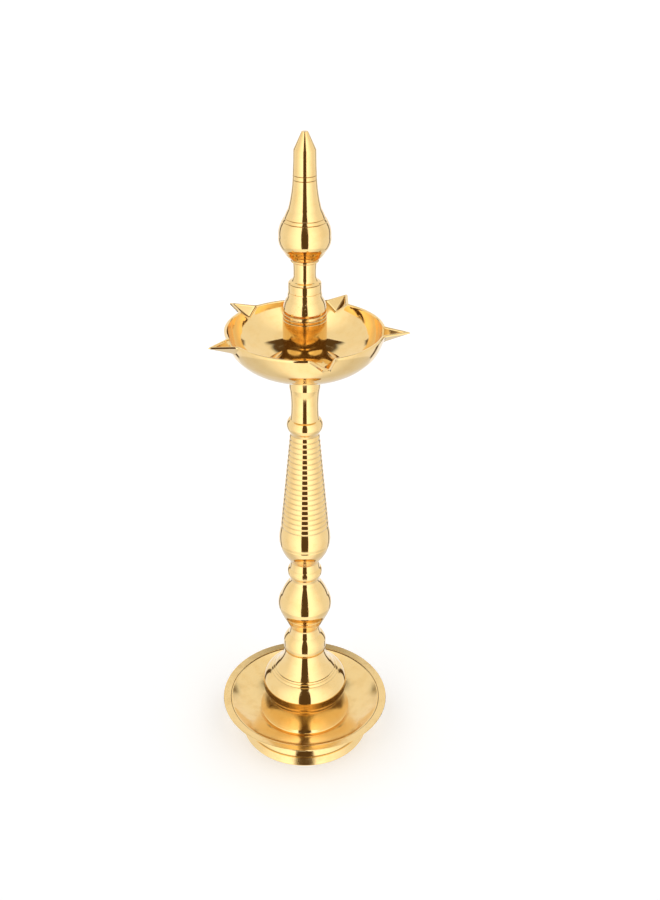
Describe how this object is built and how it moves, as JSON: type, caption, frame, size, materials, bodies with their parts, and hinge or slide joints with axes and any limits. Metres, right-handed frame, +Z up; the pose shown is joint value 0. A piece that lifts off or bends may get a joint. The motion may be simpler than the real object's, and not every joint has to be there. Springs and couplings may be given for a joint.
{
  "type": "standing oil lamp",
  "caption": "Standing brass oil lamp: dished foot with bell, turned stem, ribbed column, bowl with pinched wick beaks, finial; pieces unscrew.",
  "frame": {"origin": "centre of the foot ring's sole, on the table", "axes": "+Z up along the turning axis; -Y towards the viewer, who sees one beak to the right near +X"},
  "size_m": [0.1306, 0.1295, 0.457],
  "materials": {
    "tray_brass": "cast and turned, satin grain inside, polished rim",
    "bell_brass": "mirror polished over fine turning lines",
    "turned_brass": "mirror polished over fine turning lines",
    "bowl_brass": "hand polished, slightly uneven",
    "pillar_brass": "polished, with a few small casting pits",
    "finial_brass": "polished, with a few small casting pits",
    "stud_steel": "rolled thread",
    "nut_steel": "zinc plated",
    "seal_leather": "oiled leather"
  },
  "bodies": {
    "base": {"base_tray": "tray_brass", "base_bell": "bell_brass", "base_collar": "turned_brass", "base_washer": "nut_steel", "base_nut": "nut_steel"},
    "base_screw": {"base_stud": "stud_steel"},
    "lower_stem": {"baluster": "turned_brass"},
    "column_screw": {"column_stud": "stud_steel"},
    "upper_stem": {"ribbed_column": "turned_brass"},
    "bowl": {"oil_bowl": "bowl_brass"},
    "bowl_screw": {"bowl_stud": "stud_steel"},
    "pillar": {"bowl_pillar": "pillar_brass", "bowl_seal": "seal_leather"},
    "finial_screw": {"finial_stud": "stud_steel"},
    "finial_piece": {"finial": "finial_brass"}
  },
  "joints": [
    {"name": "lower_stem_turn", "type": "hinge", "parent": "base", "child": "base_screw", "pos_m": [0, 0, 0.0957], "axis": [0, 0, 1], "range_deg": [0, 2520]},
    {"name": "lower_stem_rise", "type": "slide", "parent": "base_screw", "child": "lower_stem", "axis": [0, 0, 1], "range_m": [0, 0.00987]},
    {"name": "upper_stem_turn", "type": "hinge", "parent": "lower_stem", "child": "column_screw", "pos_m": [0, 0, 0.1535], "axis": [0, 0, 1], "range_deg": [0, 2520]},
    {"name": "upper_stem_rise", "type": "slide", "parent": "column_screw", "child": "upper_stem", "axis": [0, 0, 1], "range_m": [0, 0.00889]},
    {"name": "bowl_turn", "type": "hinge", "parent": "upper_stem", "child": "bowl", "pos_m": [0, 0, 0.2998], "axis": [0, 0, 1], "continuous": true},
    {"name": "pillar_turn", "type": "hinge", "parent": "upper_stem", "child": "bowl_screw", "pos_m": [0, 0, 0.3034], "axis": [0, 0, 1], "range_deg": [0, 2520]},
    {"name": "pillar_rise", "type": "slide", "parent": "bowl_screw", "child": "pillar", "axis": [0, 0, 1], "range_m": [0, 0.00889]},
    {"name": "finial_turn", "type": "hinge", "parent": "pillar", "child": "finial_screw", "pos_m": [0, 0, 0.3576], "axis": [0, 0, 1], "range_deg": [0, 2520]},
    {"name": "finial_rise", "type": "slide", "parent": "finial_screw", "child": "finial_piece", "axis": [0, 0, 1], "range_m": [0, 0.00889]}
  ],
  "couplings": [
    {"joint": "lower_stem_turn", "follows": "lower_stem_rise", "rad_per_m": 4456.2},
    {"joint": "upper_stem_turn", "follows": "upper_stem_rise", "rad_per_m": 4947.4},
    {"joint": "pillar_turn", "follows": "pillar_rise", "rad_per_m": 4947.4},
    {"joint": "finial_turn", "follows": "finial_rise", "rad_per_m": 4947.4}
  ]
}
